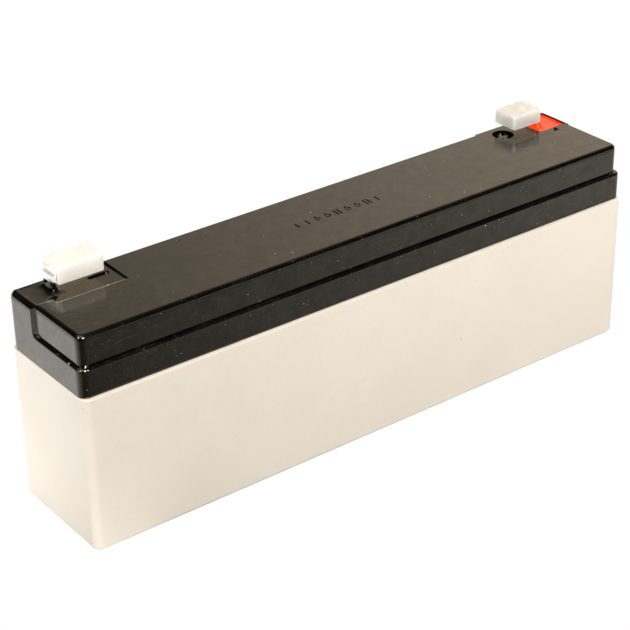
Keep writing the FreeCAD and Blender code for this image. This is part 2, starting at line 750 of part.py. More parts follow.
def cover_underside(piece):
    """Locating lip, valve stops and the gas slots under the back edge."""
    sketch = new_sketch(piece, "lip_outline", offset=size.seat_z)
    polygon(sketch, chamber_outline(size.lip_gap))
    polygon(sketch, chamber_outline(size.lip_gap + size.lip_thk))
    pad(piece, sketch, size.lip_dep, "locating_lip", reverse=True)

    sketch = new_sketch(piece, "stop_outlines", offset=size.seat_z)
    chimney_circles(sketch, size.stop_dia)
    pad(piece, sketch, size.stop_len, "valve_stops", reverse=True)

    half_slot = size.gas_slot_wid / 2
    sketch = new_sketch(piece, "gas_slot_outlines", offset=size.rebate_z)
    for side in SIDES:
        mid_x = cell_pitch * side
        rect(sketch, mid_x - half_slot, size.block_y - size.gas_slot_dep,
             mid_x + half_slot, size.block_y + OVER_SMALL)
    pocket(piece, sketch, size.seat_z - size.rebate_z + size.gas_slot_rise, "gas_slots",
           reverse=True)


def draw_mark(sketch, kind, mid_x):
    """Draw one batch mark: a bar, a double bar or an open lozenge."""
    stroke = size.mark_wid
    if kind == "lozenge":
        half_x, half_y = size.lozenge_wid / 2, size.lozenge_len / 2
        inner = (half_x - stroke * 1.15, half_y - stroke * 1.5)
        for reach_x, reach_y in ((half_x, half_y), inner):
            polygon(sketch, [(mid_x - reach_x, 0), (mid_x, -reach_y),
                             (mid_x + reach_x, 0), (mid_x, reach_y)])
        return
    if kind == "double":
        half_y, offsets = size.double_len / 2, (-size.double_off, size.double_off)
    else:
        half_y, offsets = size.bar_len / 2, (0,)
    for offset in offsets:
        bar_x = mid_x + offset
        rect(sketch, bar_x - stroke / 2, -half_y, bar_x + stroke / 2, half_y)


def cover_batch_marks(piece):
    """Row of plain stamped marks in the middle of the top."""
    kinds = ("bar", "bar", "lozenge", "lozenge", "double",
             "lozenge", "lozenge", "double", "bar")
    sketch = new_sketch(piece, "mark_outlines", offset=size.top_z)
    for i, kind in enumerate(kinds):
        draw_mark(sketch, kind, size.mark_pitch * (i - (len(kinds) - 1) / 2))
    pocket(piece, sketch, size.mark_dep, "batch_marks")


def build_vent_cover():
    piece = new_body("vent_cover")
    cover_plate(piece)
    cover_openings(piece)
    cover_underside(piece)
    cover_batch_marks(piece)


# ------------------------------------------------------------ lid bond lines
def build_lid_adhesive():
    piece = new_body("lid_adhesive", compound=True)
    sketch = new_sketch(piece, "bead_outlines", offset=size.case_hgt)
    cell_rects(sketch, size.bead_wall_gap, size.skirt_gap - size.bead_skirt_gap)
    pad(piece, sketch, size.skirt_dep, "beads", reverse=True)


# ---------------------------------------------------------------- valve caps
def build_valve_cap(cell):
    """Bell over a chimney, turned from its half section."""
    piece = new_body("valve_cap_%d" % cell)
    outer, inner = size.valve_dia / 2, size.valve_bore / 2
    roof_low = size.chimney_top
    roof_top = roof_low + size.valve_top
    low = roof_top - size.valve_hgt
    sketch = new_sketch(piece, "bell_section_%d" % cell, "XZ")
    polygon(sketch, [(0, roof_low), (inner, roof_low), (inner, low),
                     (outer, low), (outer, roof_top), (0, roof_top)])
    revolve(piece, sketch, "bell_%d" % cell)

    def on_outer_top(edge):
        radius = (edge.mid.x ** 2 + edge.mid.y ** 2) ** 0.5
        return edge.level(roof_top) and near(radius, outer, 0.01)

    fillet(piece, on_outer_top, size.valve_rad, "bell_edge_%d" % cell)
    bind_base(piece, x=cell_x(cell), y=-size.chimney_off)


# ------------------------------------------------- plate groups in each cell
def build_plates(kind, cell, side, thickness, count):
    """Row of like plates whose lugs stand on the given Y side."""
    piece = new_body("%s_plates_%d" % (kind, cell), compound=True)
    span = size.plate_step * (count - 1)
    half_wid, half_lug = size.plate_wid / 2, size.lug_wid / 2
    low, top, lug_top = size.plate_low, size.plate_top, size.strap_low
    lug_y = flip(side, size.weld_off)
    sketch = new_sketch(piece, "plate_outline", "YZ", -span / 2)
    polygon(sketch, [(-half_wid, low), (half_wid, low), (half_wid, top),
                     (lug_y + half_lug, top), (lug_y + half_lug, lug_top),
                     (lug_y - half_lug, lug_top), (lug_y - half_lug, top),
                     (-half_wid, top)])
    plate = pad(piece, sketch, thickness, "plate", mid=True)
    pattern_along_x(piece, plate, count, span, "plates")
    bind_base(piece, x=cell_x(cell))


def build_separators(cell):
    """Glass mat folded round the bottom of each positive plate."""
    piece = new_body("separators_%d" % cell, compound=True)
    span = size.plate_step * 3
    mid_x = -span / 2
    inner, outer = size.sep_half, size.sep_half + size.sep_thk
    low, fold_top, top = size.floor_thk, size.floor_thk + size.sep_thk, size.sep_top
    sketch = new_sketch(piece, "fold_outline", "XZ")
    polygon(sketch, [(mid_x - outer, low), (mid_x + outer, low), (mid_x + outer, top),
                     (mid_x + inner, top), (mid_x + inner, fold_top),
                     (mid_x - inner, fold_top), (mid_x - inner, top),
                     (mid_x - outer, top)])
    fold = pad(piece, sketch, size.sep_wid, "fold", mid=True)
    pattern_along_x(piece, fold, 4, span, "folds")
    bind_base(piece, x=cell_x(cell))


def build_strap(kind, cell, side, half):
    """Cast-on strap, ending in an upright riser at its partition weld."""
    piece = new_body("%s_strap_%d" % (kind, cell))
    low, top = size.strap_low, size.strap_top
    sketch = new_sketch(piece, "strap_section", "XZ")
    if (kind, cell) in (("negative", 1), ("positive", 6)):
        # the terminal strap carries the post and has no riser
        rect(sketch, -size.neg_half, low, size.neg_half, top)
    else:
        outward = 1 if kind == "positive" else -1
        far_x = flip(-outward, half)
        end_x = flip(outward, size.strap_end)
        riser_x = flip(outward, size.strap_end - size.riser_thk)
        polygon(sketch, [(far_x, low), (end_x, low), (end_x, size.riser_top),
                         (riser_x, size.riser_top), (riser_x, top), (far_x, top)])
    pad(piece, sketch, size.strap_wid, "strap", mid=True)
    bind_base(piece, x=cell_x(cell), y=flip(side, size.weld_off))


def build_cell(cell):
    side = positive_side(cell)
    build_plates("positive", cell, side, size.pos_thk, 4)
    build_plates("negative", cell, -side, size.neg_thk, 5)
    build_separators(cell)
    build_strap("positive", cell, side, size.pos_half)
    build_strap("negative", cell, -side, size.neg_half)


def build_weld(partition):
    """Weld through a partition, lying along X."""
    weld = new_object("Part::Cylinder", "intercell_weld_%d" % partition)
    bind(weld, "Radius", size.weld_dia / 2 - size.weld_fit)
    bind(weld, "Height", size.partition_thk + size.weld_over * 2)
    weld.Placement = FreeCAD.Placement(V(0, 0, 0), FreeCAD.Rotation(V(0, 1, 0), 90))
    bind_base(weld,
              x=partition_x(partition) - size.partition_thk / 2 - size.weld_over,
              y=flip(positive_side(partition), size.weld_off),
              z=size.weld_hgt)


# ------------------------------------------------------------------ terminals
def build_post(name, side):
    """Lead post: shaft, neck through the terminal foot, soldered head."""
    piece = new_body("%s_post" % name)
    shaft, neck, head = size.post_dia / 2, size.post_neck / 2, size.post_head / 2
    low, top, chf = size.strap_top, size.head_top, size.head_chf
    sketch = new_sketch(piece, "post_section", "XZ")
    polygon(sketch, [(0, low), (shaft, low), (shaft, size.foot_low),
                     (neck, size.foot_low), (neck, foot_top), (head, foot_top),
                     (head, top - chf), (head - chf, top), (0, top)])
    revolve(piece, sketch, "post_turned")
    bind_base(piece, x=flip(side, size.post_x), y=size.tab_y)


def build_terminal(name, side):
    """Terminal strip: foot over the post, stem, blade bent back over the lid."""
    piece = new_body("%s_terminal" % name)
    thickness, half_wid = size.tab_thk, size.tab_wid / 2
    stem_out, foot_low, blade_top = size.stem_x, size.foot_low, size.blade_top
    section = [(size.foot_end, foot_low), (stem_in, foot_low), (stem_in, blade_low),
               (size.blade_tip, blade_low), (size.blade_tip, blade_top),
               (stem_out, blade_top), (stem_out, foot_top), (size.foot_end, foot_top)]
    sketch = new_sketch(piece, "strip_section", "XZ")
    polygon(sketch, [(flip(side, x), z) for x, z in section])
    pad(piece, sketch, size.tab_wid, "strip", mid=True)

    # edge across the strip at x, z; radius
    for bend, x, z, radius in (
            ("bend_outer", stem_out, blade_top, size.bend_rad),
            ("bend_inner", stem_in, blade_low, size.bend_rad - thickness),
            ("foot_outer", stem_in, foot_low, size.foot_bend_rad),
            ("foot_inner", stem_out, foot_top, size.foot_bend_rad - thickness)):
        fillet(piece, lambda edge: (edge.ends_at_x(x) and near(edge.start.z, z)
                                    and near(edge.end.z, z)), radius, bend, 1)
    chamfer(piece, lambda edge: (edge.ends_at_x(size.blade_tip)
                                 and near(edge.start.y, edge.end.y)
                                 and near(abs(edge.start.y), half_wid)),
            size.tip_chf, "tip_corners", 2)
    chamfer(piece, lambda edge: (edge.ends_at_x(size.blade_tip)
                                 and near(edge.start.z, edge.end.z)),
            size.tip_bevel, "tip_bevels", 2)

    through = thickness + 2 * OVER_TINY
    sketch = new_sketch(piece, "detent_outline", offset=blade_top + OVER_TINY)
    circle(sketch, flip(side, size.blade_tip + size.detent_off), 0, size.detent_dia)
    pocket(piece, sketch, through, "detent_hole")
    sketch = new_sketch(piece, "foot_hole_outline", offset=foot_top + OVER_TINY)
    circle(sketch, flip(side, size.post_x), 0, size.post_neck + size.foot_hole_fit)
    pocket(piece, sketch, through, "foot_hole")
    bind_base(piece, y=size.tab_y)


def build_o_ring(name, side):
    ring = new_object("Part::Torus", "%s_post_o_ring" % name)
    bind(ring, "Radius1", size.oring_mid_dia / 2)
    bind(ring, "Radius2", size.oring_sec / 2)
    bind_base(ring, x=flip(side, size.post_x), y=size.tab_y,
              z=size.oring_seat_z + size.oring_sec / 2 + size.oring_lift)


def new_box(name, side, x_range, y_range, z_range):
    """Box between low and high values, its X range given for the +X end."""
    box = doc.addObject("Part::Box", name)
    for prop, (low, high) in zip(("Length", "Width", "Height"), (x_range, y_range, z_range)):
        bind(box, prop, high - low)
    bind_base(box, x=x_range[0] if side > 0 else -x_range[1], y=y_range[0], z=z_range[0])
    return box


def build_terminal_seal(name, side):
    """Cast resin that fills the well round the post head, foot and stem."""
    gap = size.resin_gap
    inner_x = size.well_x0 + gap
    resin = new_box("%s_resin_block" % name, side,
                    (inner_x, size.well_x1 - gap),
                    (size.well_y0 + gap, size.well_y1 - gap),
                    (size.well_floor + gap, size.fill_z))
    doc.recompute()
    rounded = doc.addObject("Part::Fillet", "%s_resin_round" % name)
    rounded.Base = resin
    numbers = edge_numbers(resin.Shape, lambda edge: (
        edge.upright() and near(abs(edge.start.x), inner_x, 0.01)))
    radius = float(size.well_rad)
    rounded.Edges = [(number, radius, radius) for number in numbers]
    doc.recompute()

    hole = doc.addObject("Part::Cylinder", "%s_resin_post_hole" % name)
    bind(hole, "Radius", size.post_head / 2)
    bind(hole, "Height", size.head_top - size.well_floor)
    bind_base(hole, x=flip(side, size.post_x), y=size.tab_y, z=size.well_floor)

    half_wid = size.tab_wid / 2 + gap
    across = (size.tab_y - half_wid, size.tab_y + half_wid)
    overlap = 0.01
    slot_height = 10.0  # more than the resin above the foot
    relief = 0.6  # clears the strip's inner bend, in the corner over the foot
    stem_slot = new_box("%s_resin_stem_slot" % name, side,
                        (stem_in - gap, size.stem_x + gap), across,
                        (foot_top + overlap, foot_top + overlap + slot_height))
    foot_slot = new_box("%s_resin_foot_slot" % name, side,
                        (stem_in - gap, size.foot_end + gap), across,
                        (size.foot_low - gap, foot_top + gap))
    bend_relief = new_box("%s_resin_bend_relief" % name, side,
                          (size.stem_x - overlap, size.stem_x - overlap + relief), across,
                          (foot_top - overlap, foot_top - overlap + relief))
    doc.recompute()
    hollows = doc.addObject("Part::MultiFuse", "%s_resin_hollows" % name)
    hollows.Shapes = [hole, stem_slot, foot_slot, bend_relief]
    doc.recompute()
    seal = new_object("Part::Cut", "%s_terminal_seal" % name)
    seal.Base = rounded
    seal.Tool = hollows
    doc.recompute()


def build_terminal_cover(name, side, closed_x):
    """Slip-on sleeve over the blade, open at the outer end."""
    piece = new_body("%s_terminal_cover" % name)
    negative = side < 0
    wall, half_wid, mid_y = size.cap_wall, size.cap_wid / 2, size.cap_mid_y
    low, top = size.cap_low, size.cap_low + size.cap_hgt
    sketch = new_sketch(piece, "cover_face", "YZ", flip(side, closed_x))
    rect(sketch, mid_y - half_wid, low, mid_y + half_wid, top)
    pad(piece, sketch, size.cap_open - closed_x, "sleeve", reverse=negative)
    fillet(piece, lambda edge: (near(edge.start.y, edge.end.y)
                                and near(edge.start.z, edge.end.z)
                                and abs(edge.start.x - edge.end.x) > 3),
           size.cap_rad, "sleeve_long_edges", 4)
    fillet(piece, lambda edge: edge.ends_at_x(closed_x) and near(abs(edge.mid.x), closed_x),
           size.cap_end_rad, "sleeve_closed_edge")

    sketch = new_sketch(piece, "pocket_face", "YZ", flip(side, size.cap_open))
    rect(sketch, mid_y - half_wid + wall, low + wall, mid_y + half_wid - wall, top - wall)
    pocket(piece, sketch, size.cap_open - closed_x - wall, "sleeve_pocket", reverse=negative)

    # four lengthwise ribs that grip the blade, rooted in the walls
    root = wall - OVER_TINY
    half_rib = size.rib_wid / 2
    sketch = new_sketch(piece, "rib_faces", "YZ", flip(side, closed_x + root))
    for row in (-1, 1):
        rib_y = size.tab_y + size.rib_off * row
        rect(sketch, rib_y - half_rib, low + root, rib_y + half_rib, blade_low - size.cap_grip)
        rect(sketch, rib_y - half_rib, size.blade_top + size.cap_grip,
             rib_y + half_rib, top - root)
    pad(piece, sketch, stem_in - size.bend_rad - closed_x - root, "grip_ribs",
        reverse=negative)


# --------------------------------------------------------------------- build
build_container()
build_lid()
build_vent_cover()
build_lid_adhesive()
for cell in CELLS:
    build_valve_cap(cell)
for cell in CELLS:
    build_cell(cell)
for partition in PARTITIONS:
    build_weld(partition)
doc.recompute()
for name, side, closed_x in (("negative", -1, size.cap_neg_end),
                             ("positive", 1, size.cap_pos_end)):
    build_post(name, side)
    build_terminal(name, side)
    build_o_ring(name, side)
    build_terminal_seal(name, side)
    build_terminal_cover(name, side, closed_x)
doc.recompute()

# ------------------------------------------------------------- check, write
bad = []
for obj in doc.Objects:
    if "Invalid" in obj.State or "Error" in obj.State:
        bad.append("%s %s" % (obj.Name, obj.State))
for piece in SUBPARTS:
    if piece.Shape.isNull() or not piece.Shape.isValid():
        bad.append("%s has no valid shape" % piece.Label)
    elif not piece.Shape.Solids:
        bad.append("%s has no solid" % piece.Label)
if bad:
    raise RuntimeError("; ".join(bad))
os.makedirs("parts", exist_ok=True)
for piece in SUBPARTS:
    piece.Shape.exportStep(os.path.join("parts", piece.Label + ".step"))
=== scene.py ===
import math
import random
from fnmatch import fnmatchcase
from functools import reduce

import bmesh
import bpy
from mathutils import Matrix, Vector


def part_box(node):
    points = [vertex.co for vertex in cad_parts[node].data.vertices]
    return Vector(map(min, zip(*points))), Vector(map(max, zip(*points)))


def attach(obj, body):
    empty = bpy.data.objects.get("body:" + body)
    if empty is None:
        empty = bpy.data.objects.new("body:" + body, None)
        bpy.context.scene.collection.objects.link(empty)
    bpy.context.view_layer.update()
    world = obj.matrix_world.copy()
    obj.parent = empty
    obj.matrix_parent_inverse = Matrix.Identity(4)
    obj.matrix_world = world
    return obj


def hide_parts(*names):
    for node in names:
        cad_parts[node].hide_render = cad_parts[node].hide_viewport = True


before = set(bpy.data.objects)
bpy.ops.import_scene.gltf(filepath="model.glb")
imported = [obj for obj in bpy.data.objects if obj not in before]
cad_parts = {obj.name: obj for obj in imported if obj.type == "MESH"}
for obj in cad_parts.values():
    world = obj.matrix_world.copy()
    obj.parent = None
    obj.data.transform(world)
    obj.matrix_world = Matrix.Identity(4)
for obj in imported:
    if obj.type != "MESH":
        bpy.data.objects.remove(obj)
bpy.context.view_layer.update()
scene = bpy.context.scene
MM = 0.001

# ------------------------------------------------------------ driving sizes
# terminals: an upright stem in each well, under a flat blade
TERMINAL_Y = 11.1
STEM_X = 80.0
STEM_THICKNESS = 0.8
STEM_WIDTH = 4.75
BLADE_TOP = 63.5
BLADE_UNDERSIDE = 62.7

# slip-on terminal covers
SLEEVE_WALL = 0.7
SLEEVE_TOP_RADIUS = 0.95
SLEEVE_LOW_RADIUS = 0.38
BORE_TOP_RADIUS = 0.45
BORE_LOW_RADIUS = 0.25
END_ROUND = 0.85            # rounding of the closed end
END_ROUND_LOW = 0.45        # the same at its lower edge
RIB_OFFSET = 1.35           # from the blade's middle line
RIB_CLEARANCE = 0.08        # between rib and blade
# across a rib: offset from its middle, share of its height
RIB_PROFILE = ((0.42, 0.0), (0.26, 1.0), (-0.26, 1.0), (-0.42, 0.0))

# cast resin in the terminal wells
SLOT_GAP = 0.015            # around the stem
WELL_RADIUS = 1.78          # corners towards the battery's middle
WELL_SHARP_RADIUS = 0.02    # corners at the outer end
RESIN_BOTTOM = 56.0
# shares of the way from the stem's slot to the well's wall
RESIN_SHARES = (0.0, 0.015, 0.035, 0.06, 0.095, 0.14, 0.20, 0.27, 0.36,
                0.47, 0.59, 0.71, 0.81, 0.89, 0.95, 0.98, 1.0)


def box_mm(node):
    """Low and high corner of a CAD node, in millimetres."""
    return [tuple(q / MM for q in corner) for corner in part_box(node)]


def direction(azimuth, elevation):
    """Unit vector from angles in degrees; azimuth 0 is +X, 90 is +Y."""
    a, e = math.radians(azimuth), math.radians(elevation)
    return Vector((math.cos(e) * math.cos(a), math.cos(e) * math.sin(a), math.sin(e)))


# --------------------------------------------------------------- node graph
class Graph:
    """Builds the nodes of one material or world; methods return sockets."""

    def __init__(self, owner, output="ShaderNodeOutputMaterial"):
        self.owner = owner
        owner.use_nodes = True
        self.tree = owner.node_tree
        self.tree.nodes.clear()
        self.output = self.node(output)

    def put(self, socket, value):
        """Link a socket or set a value; colours may come without alpha."""
        if isinstance(value, bpy.types.NodeSocket):
            self.tree.links.new(value, socket)
        elif socket.type == "RGBA":
            socket.default_value = (*value, 1.0)[:4]
        else:
            socket.default_value = value

    def node(self, kind, inputs=None, **settings):
        node = self.tree.nodes.new(kind)
        for key, value in settings.items():
            setattr(node, key, value)
        for key, value in (inputs or {}).items():
            self.put(node.inputs[key], value)
        return node

    def finish(self, shader):
        self.put(self.output.inputs["Surface"], shader)
        return self.owner

    # places and patterns
    def coords(self, scale=(1, 1, 1), offset=(0, 0, 0), turn=(0, 0, 0)):
        """Object coordinates in millimetres, scaled."""
        source = self.node("ShaderNodeTexCoord").outputs["Object"]
        return self.node("ShaderNodeMapping", {
            "Vector": source, "Scale": [s / MM for s in scale],
            "Location": offset, "Rotation": turn}).outputs["Vector"]

    def axes(self, vector):
        return self.node("ShaderNodeSeparateXYZ", {0: vector}).outputs

    def normal_z(self):
        """1 where the surface faces up, -1 where it faces down."""
        geometry = self.node("ShaderNodeNewGeometry")
        return self.axes(geometry.outputs["True Normal"])["Z"]

    def ray(self, kind):
        return self.node("ShaderNodeLightPath").outputs[f"Is {kind} Ray"]

    def noise(self, vector, scale, detail=3.0, rough=0.5, distortion=0.0):
        return self.node("ShaderNodeTexNoise", {
            "Vector": vector, "Scale": scale, "Detail": detail,
            "Roughness": rough, "Distortion": distortion}).outputs["Fac"]

    def cells(self, vector, scale):
        return self.node("ShaderNodeTexVoronoi",
                         {"Vector": vector, "Scale": scale}).outputs["Distance"]

    # arithmetic
    def math(self, operation, *values, clamp=False):
        return self.node("ShaderNodeMath", dict(enumerate(values)),
                         operation=operation, use_clamp=clamp).outputs[0]

    def times(self, *factors):
        return reduce(lambda a, b: self.math("MULTIPLY", a, b), factors)

    def linear(self, value, gain, offset):
        return self.math("ADD", self.times(value, gain), offset)

    def lift(self, value, mask, by, clamp=False):
        return self.math("ADD", value, self.times(mask, by), clamp=clamp)

    def lower(self, value, mask, by, clamp=False):
        return self.math("SUBTRACT", value, self.times(mask, by), clamp=clamp)

    def weighted(self, first, *others):
        """Sum of (value, weight) pairs."""
        return reduce(lambda total, pair: self.lift(total, *pair), others, self.times(*first))

    def above(self, value, limit):
        return self.math("GREATER_THAN", value, limit)

    def below(self, value, limit):
        return self.math("LESS_THAN", value, limit)

    def within(self, value, low, high):
        return self.times(self.above(value, low), self.below(value, high))

    def remap(self, value, span, to=(0.0, 1.0)):
        return self.node("ShaderNodeMapRange", {
            "Value": value, "From Min": span[0], "From Max": span[1],
            "To Min": to[0], "To Max": to[1]}).outputs["Result"]

    # masks
    def line(self, value, level, width):
        """Thin line where value passes through level."""
        distance = self.math("ABSOLUTE", self.math("SUBTRACT", value, level))
        return self.below(distance, width)

    def specks(self, vector, scale, wobble_scale, wobble, radius, patches, limit):
        """Ragged dots, kept where the noise described by patches exceeds limit."""
        outline = self.noise(vector, wobble_scale, detail=2.0)
        dots = self.below(self.lift(self.cells(vector, scale), outline, wobble), radius)
        return self.times(dots, self.above(self.noise(vector, **patches), limit))

    # colours
    def mix(self, factor, first, second):
        return self.node("ShaderNodeMix", {0: factor, 6: first, 7: second},
                         data_type="RGBA", blend_type="MIX").outputs[2]

    def tones(self, value, span, first, second, most=1.0):
        """Blend two colours as value crosses span, second up to the share most."""
        return self.mix(self.remap(value, span, to=(0.0, most)), first, second)

    def paint(self, base, mask, amount, color):
        return self.mix(self.times(mask, amount), base, color)

    # shading
    def bump(self, height, strength, distance):
        """Bump; distance is in metres."""
        return self.node("ShaderNodeBump", {
            "Strength": strength, "Distance": distance, "Height": height}).outputs["Normal"]

    def principled(self, **inputs):
        named = {key.replace("_", " "): value for key, value in inputs.items()}
        return self.node("ShaderNodeBsdfPrincipled", named).outputs["BSDF"]

    def surface(self, **inputs):
        return self.finish(self.principled(**inputs))

    def glow(self, kind, color, strength):
        """Emission or Background shader."""
        return self.node("ShaderNode" + kind, {"Color": color, "Strength": strength}).outputs[0]

    def mix_shaders(self, factor, first, second):
        return self.node("ShaderNodeMixShader", {0: factor, 1: first, 2: second}).outputs[0]


def material(name):
    return Graph(bpy.data.materials.new(name))


def srgb(*levels):
    """Linear colour from 0-255 display levels."""
    def linear(level):
        level /= 255.0
        return level / 12.92 if level <= 0.04045 else ((level + 0.055) / 1.055) ** 2.4
    return tuple(linear(level) for level in levels)


# ---------------------------------------------------------------- materials
def cream_plastic():
    """Moulded ABS container: warm cream, satin, a little translucent."""
    mat = material("cream_abs")
    pos = mat.coords()
    blotch = mat.noise(pos, scale=0.035, detail=4.0, rough=0.55)
    fine = mat.noise(pos, scale=0.9, rough=0.6)
    base = mat.tones(blotch, (0.3, 0.7), srgb(231, 225, 213), srgb(226, 218, 205))
    base = mat.tones(fine, (0.35, 0.75), base, srgb(221, 212, 197), most=0.25)
    # a few brown specks in the moulding
    speck = mat.specks(pos, scale=0.11, wobble_scale=2.2, wobble=0.03, radius=0.036,
                       patches=dict(scale=0.05, detail=1.0), limit=0.56)
    base = mat.paint(base, speck, amount=0.75, color=srgb(176, 126, 84))
    micro = mat.noise(pos, scale=7.0, detail=4.0, rough=0.6)
    wave = mat.noise(pos, scale=0.12, detail=2.0)
    # faint flow lines running up the walls
    flow = mat.noise(mat.coords(scale=(1.0, 1.0, 0.06)), scale=0.8, rough=0.6)
    height = mat.weighted((micro, 0.35), (wave, 2.0), (flow, 0.35))
    uneven = mat.weighted((micro, 0.5), (blotch, 0.5))
    return mat.surface(
        Base_Color=base,
        Roughness=mat.remap(uneven, span=(0.3, 0.7), to=(0.33, 0.47)),
        IOR=1.5,
        Normal=mat.bump(height, strength=0.35, distance=0.00002),
        Subsurface_Weight=0.12,
        Subsurface_Radius=(0.0012, 0.0009, 0.0006),
        Subsurface_Scale=1.0,
        Specular_IOR_Level=0.5)


def hairlines(mat, scale, turn, width, patch_scale, limit):
    """Straight scratches, gathered in patches."""
    grain = mat.noise(mat.coords(scale=scale, turn=turn), scale=1.0, detail=2.0)
    patches = mat.above(mat.noise(mat.coords_here, scale=patch_scale, detail=2.0), limit)
    return mat.times(mat.line(grain, level=0.5, width=width), patches)


def edge_highlight_and_shade_strip(mat, x, y, z):
    """Mask of the vent cover's front edge and its set-back ends, where a highlight and a dark
    line are painted.
    """
    across = mat.math("ABSOLUTE", x)
    front = mat.times(mat.within(y, low=2.62, high=3.14), mat.within(across, low=63.5, high=82.9))
    ends = mat.times(mat.within(y, low=4.55, high=5.04), mat.within(across, low=82.9, high=87.0))
    end_share = 0.6
    strip = mat.math("MAXIMUM", front, mat.times(ends, end_share))
    return mat.times(strip, mat.above(z, limit=59.0))


def black_plastic(name, seed, dusty, painted_edge_lines=False):
    """Glossy moulded black ABS with dust, hairline scratches and handling smudges."""
    mat = material(name)
    pos = mat.coords_here = mat.coords(offset=(seed, seed * 0.7, 0))
    blotch = mat.noise(pos, scale=0.05, detail=5.0, rough=0.6)
    smudge = mat.noise(pos, scale=0.16, detail=4.0, rough=0.55, distortion=0.8)
    base = mat.tones(blotch, (0.3, 0.7), (0.0010, 0.0008, 0.0006), (0.0022, 0.0018, 0.0014))
    # dust: many tiny pale specks, a few larger ones, and a faint fine haze
    small = mat.specks(pos, scale=0.62, wobble_scale=3.0, wobble=0.06, radius=0.105,
                       patches=dict(scale=0.13, rough=0.6), limit=0.535)
    large = mat.specks(pos, scale=0.15, wobble_scale=1.6, wobble=0.04, radius=0.058,
                       patches=dict(scale=0.08, detail=1.0), limit=0.53)
    dust = mat.math("ADD", small, large, clamp=True)
    haze = mat.times(mat.below(mat.cells(pos, scale=1.3), limit=0.17),
                     mat.above(mat.noise(pos, scale=0.22, rough=0.6), limit=0.56))
    # lint: short pale hairs
    curls = mat.noise(
        mat.coords(scale=(0.25, 0.25, 0.25), turn=(0.1, 0.3, 0.9), offset=(seed, 0, 0)),
        scale=1.0, detail=2.0, distortion=2.5)
    lint = mat.line(curls, level=0.62, width=0.0011)
    # scratches along the length, then across it
    along = hairlines(mat, scale=(0.035, 1.9, 1.0), turn=(0, 0, 0.10), width=0.0040,
                      patch_scale=0.06, limit=0.56)
    across = hairlines(mat, scale=(1.7, 0.06, 0.05), turn=(0, 0, -0.35), width=0.0022,
                       patch_scale=0.045, limit=0.60)
    scratches = mat.math("ADD", along, across, clamp=True)
    dust_color = srgb(205, 190, 168)
    base = mat.paint(base, dust, amount=0.50 * dusty, color=dust_color)
    base = mat.paint(base, haze, amount=0.055 * dusty, color=dust_color)
    base = mat.paint(base, lint, amount=0.16, color=srgb(190, 180, 165))
    base = mat.paint(base, scratches, amount=0.085, color=srgb(150, 138, 122))
    film = mat.remap(mat.noise(pos, scale=0.30, detail=4.0, rough=0.6, distortion=0.6),
                     span=(0.32, 0.68), to=(0.41, 0.58))
    if painted_edge_lines:
        # painted highlight and painted shade: the edge is painted pale on the negative side, like
        # a lit edge, and on the positive side its reflection is turned down to a dark line
        x, y, z = mat.axes(mat.coords())
        strip = edge_highlight_and_shade_strip(mat, x, y, z)
        patchy = mat.remap(mat.noise(mat.coords(scale=(0.5, 1, 1)), scale=0.8, rough=0.6),
                           span=(0.30, 0.62), to=(0.25, 1.0))
        side_level = mat.remap(x, span=(-40.0, 40.0), to=(0.30, 0.0))
        # painted highlight: the strip is mixed towards pale cream on the negative side
        base = mat.mix(mat.times(strip, patchy, side_level), base, srgb(214, 200, 176))
        # painted shade: less reflection along the strip on the positive side
        dark = mat.times(strip, mat.above(x, limit=0.0))
        film = mat.lower(film, dark, by=0.36, clamp=True)
    micro = mat.noise(pos, scale=5.0, detail=4.0, rough=0.6)
    wave = mat.noise(pos, scale=0.10, detail=2.0)
    ripple = mat.noise(pos, scale=0.035, detail=1.0)
    height = mat.weighted((micro, 0.32), (wave, 1.4), (ripple, 3.0))
    height = mat.lower(height, scratches, by=0.6)
    height = mat.lift(height, dust, by=1.0)
    rough = mat.remap(smudge, span=(0.3, 0.7), to=(0.08, 0.18))
    return mat.surface(
        Base_Color=base,
        Roughness=mat.lift(rough, dust, by=0.35, clamp=True),
        IOR=1.5,
        Normal=mat.bump(height, strength=0.30, distance=0.00002),
        Specular_IOR_Level=film,
        Specular_Tint=(1.0, 0.88, 0.73))


def resin(name, dark, light, seed, tint, foot_shine, pool_shine):
    """Cast epoxy: glossy, slightly uneven, with pinhead bubbles."""
    mat = material(name)
    pos = mat.coords(offset=(seed, 0, 0))
    depth = mat.noise(pos, scale=0.22)
    base = mat.tones(depth, (0.35, 0.65), dark, light)
    bubbles = mat.below(mat.cells(pos, scale=1.1), limit=0.09)
    base = mat.paint(base, bubbles, amount=0.35, color=light)
    height = mat.weighted((mat.noise(pos, scale=0.7, detail=2.0), 1.0), (bubbles, -1.0))
    return mat.surface(
        Base_Color=base,
        Roughness=mat.remap(depth, span=(0.3, 0.7), to=(0.07, 0.16)),
        IOR=1.5,
        Normal=mat.bump(height, strength=0.5, distance=0.00004),
        Specular_Tint=tint,
        # the level pool and the steep foot of the stem have their own shine
        Specular_IOR_Level=mat.remap(mat.normal_z(), span=(0.93, 0.99),
                                     to=(foot_shine, pool_shine)))


def cover_edges(mat, pos, low, high):
    """1 near an edge of the box from low to high, 0 away from the edges."""
    near = []
    for axis, start, end in zip(mat.axes(pos), low, high):
        near.append(mat.math("MINIMUM", mat.math("SUBTRACT", axis, start),
                             mat.math("SUBTRACT", end, axis)))
    # second smallest of the three distances = distance to the nearest edge
    least = mat.math("MINIMUM", near[0], near[1])
    most = mat.math("MAXIMUM", near[0], near[1])
    second = mat.math("MINIMUM", most, mat.math("MAXIMUM", least, near[2]))
    return mat.remap(second, span=(0.35, 1.7), to=(1.0, 0.0))


